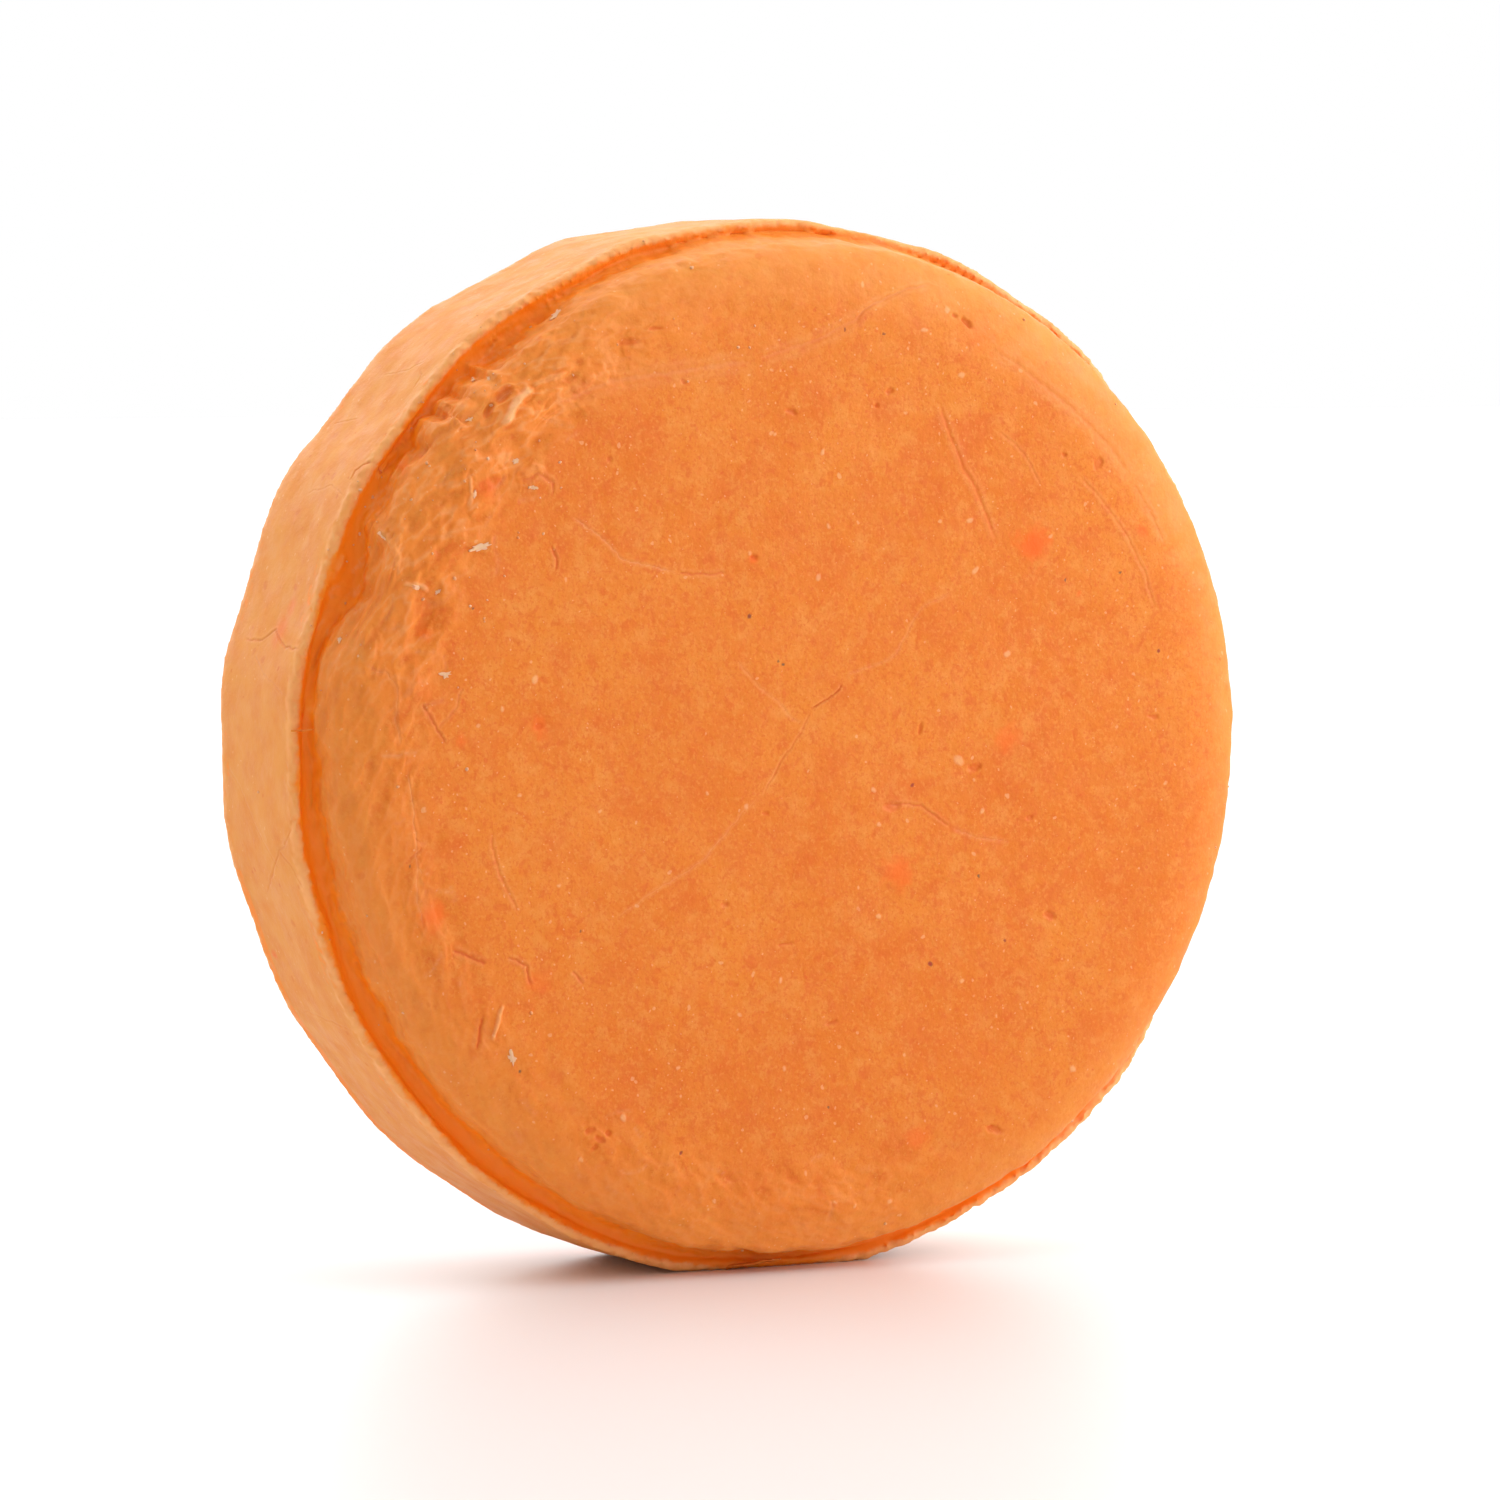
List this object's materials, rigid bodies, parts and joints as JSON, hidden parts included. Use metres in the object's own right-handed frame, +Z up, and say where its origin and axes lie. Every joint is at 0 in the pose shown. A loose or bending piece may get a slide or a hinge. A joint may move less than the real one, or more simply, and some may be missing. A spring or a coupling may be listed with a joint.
{
  "type": "shaving soap puck",
  "caption": "Round pressed shaving soap puck with a plain side band, a thin lip and a raised cushion-shaped face on each side, standing on its rim.",
  "frame": {"origin": "on the supporting surface, in the middle of the small worn flat that the puck stands on", "axes": "+Z up, Y along the puck's own axis with the crowned front face towards -Y and the flat back face towards +Y, X across the face"},
  "size_m": [0.0701, 0.0209, 0.0696],
  "materials": {
    "soap": "satin"
  },
  "bodies": {
    "root": {"soap_puck": "soap"}
  },
  "joints": []
}
